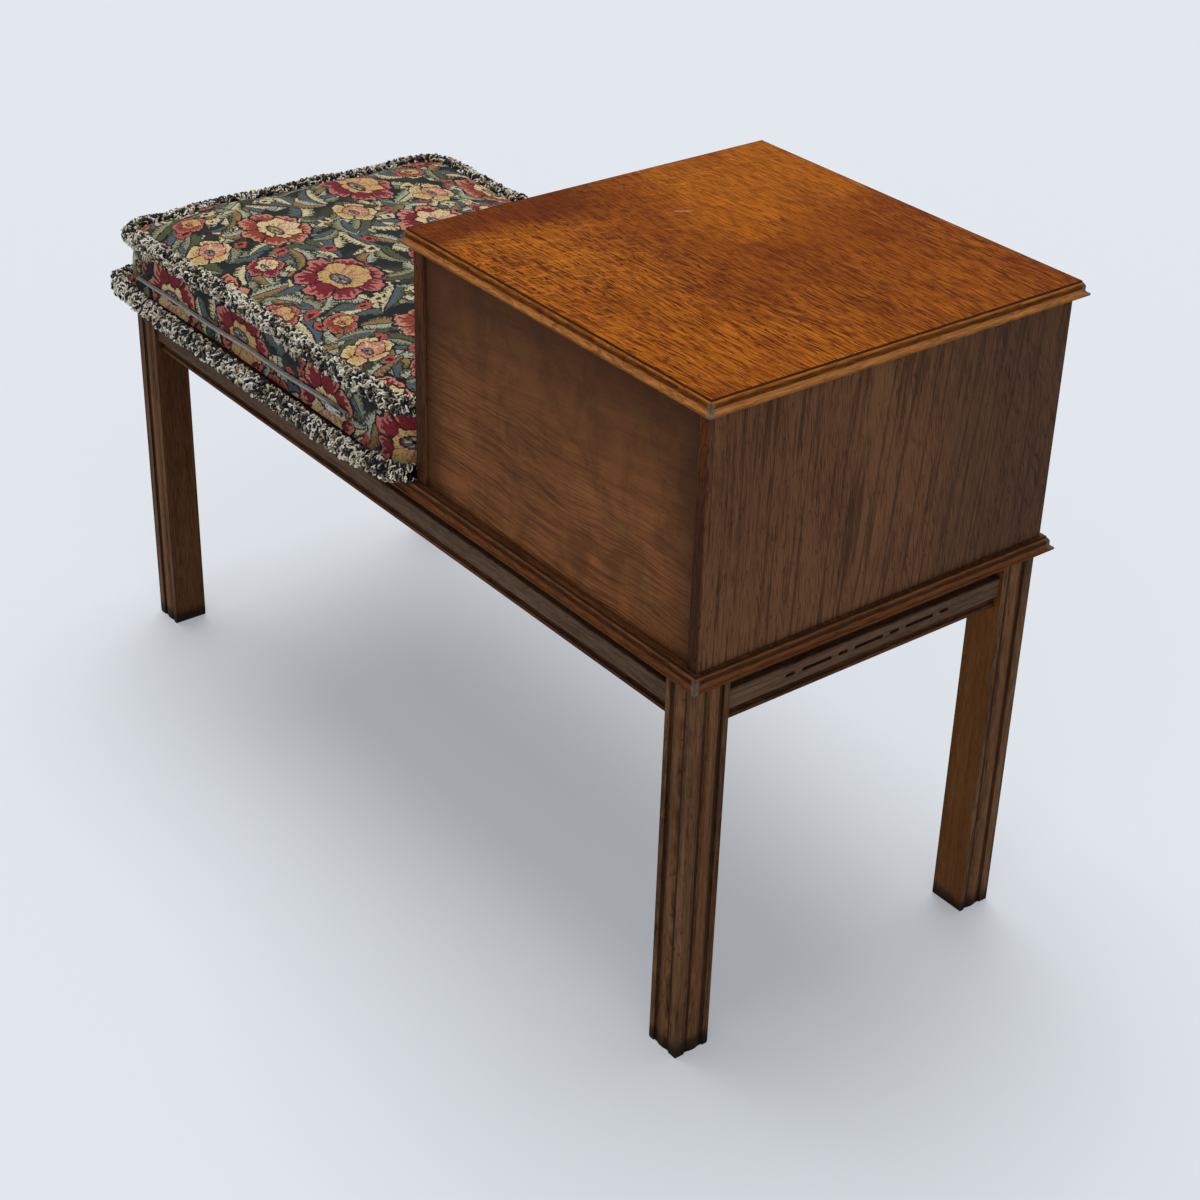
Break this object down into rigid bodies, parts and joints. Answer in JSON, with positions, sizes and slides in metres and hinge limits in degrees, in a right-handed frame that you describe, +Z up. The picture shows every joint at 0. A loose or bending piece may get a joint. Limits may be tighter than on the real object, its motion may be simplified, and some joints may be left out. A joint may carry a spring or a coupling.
{
  "type": "telephone bench",
  "caption": "Telephone bench: moulded oak stand with fretted rails, a box cabinet with drawer and directory bay at one end, and a loose fringed cushion on the seat.",
  "frame": {"origin": "on the floor under the middle of the stand", "axes": "+X from the cabinet end to the seat end, +Y to the back, +Z up; the drawer opens towards -Y"},
  "size_m": [0.9324, 0.4094, 0.622],
  "materials": {
    "oak_stand": "dark stained oak, satin lacquer, worn at the arrises",
    "oak_board": "stained oak, satin lacquer, paler along the moulding",
    "oak_side": "dark stained oak, upright grain, satin lacquer",
    "oak_top": "quarter-sawn oak, golden brown polish with ray fleck",
    "ply_panel": "stained veneered panel, grain lengthways",
    "ply_inner": "plain plywood",
    "raw_wood": "plain oak, oiled",
    "brass": "aged brass",
    "steel": "zinc plated steel",
    "tapestry": "jacquard tapestry, flowers and leaves on a dark ground",
    "fringe_yarn": "cut brush fringe of black, navy, olive and cream yarn",
    "zip_tape": "grey zip tape with moulded teeth",
    "zip_metal": "dull nickel"
  },
  "bodies": {
    "bench": {"leg_cabinet_back": "oak_stand", "leg_seat_back": "oak_stand", "leg_cabinet_front": "oak_stand", "leg_seat_front": "oak_stand", "rail_back": "oak_stand", "rail_front": "oak_stand", "rail_cabinet_end": "oak_stand", "rail_seat_end": "oak_stand", "strip_back": "oak_stand", "strip_front": "oak_stand", "strip_cabinet_end": "oak_stand", "strip_seat_end": "oak_stand", "corner_blocks": "raw_wood", "block_screws": "steel", "base_board": "oak_board", "cabinet_end_side": "oak_side", "cabinet_seat_side": "oak_side", "cabinet_back": "ply_panel", "cabinet_shelf": "oak_side", "cabinet_front_rail": "oak_side", "cabinet_dowels": "raw_wood", "top_battens": "raw_wood", "top_screws": "steel", "top_board": "oak_top", "drawer_stops": "raw_wood"},
    "drawer": {"drawer_front": "oak_side", "drawer_side_end": "raw_wood", "drawer_side_seat": "raw_wood", "drawer_back": "raw_wood", "drawer_bottom": "ply_inner", "handle_plate": "brass", "handle_posts": "brass", "handle_nuts": "steel"},
    "bail": {"handle_bail": "brass"},
    "cushion": {"cushion_pad": "tapestry", "fringe_foot": "fringe_yarn", "fringe_head": "fringe_yarn", "zip_tape": "zip_tape"},
    "zip_slider": {"zip_slider": "zip_metal"},
    "zip_pull": {"zip_pull": "zip_metal"}
  },
  "joints": [
    {"name": "drawer_slide", "type": "slide", "parent": "bench", "child": "drawer", "axis": [0, -1, 0], "range_m": [0, 0.24]},
    {"name": "bail_swing", "type": "hinge", "parent": "drawer", "child": "bail", "pos_m": [-0.2605, -0.2031, 0.5614], "axis": [-1, 0, 0], "range_deg": [-25, 200]},
    {"name": "cushion_lift", "type": "slide", "parent": "bench", "child": "cushion", "axis": [0.1191, 0, 0.9929], "range_m": [0, 0.26]},
    {"name": "zip_run", "type": "slide", "parent": "cushion", "child": "zip_slider", "axis": [0.9999, 0, -0.017], "range_m": [0, 0.38]},
    {"name": "pull_swing", "type": "hinge", "parent": "zip_slider", "child": "zip_pull", "pos_m": [0.0385, 0.19945, 0.41141], "axis": [0.017, 0, 0.9999], "range_deg": [0, 170]}
  ]
}
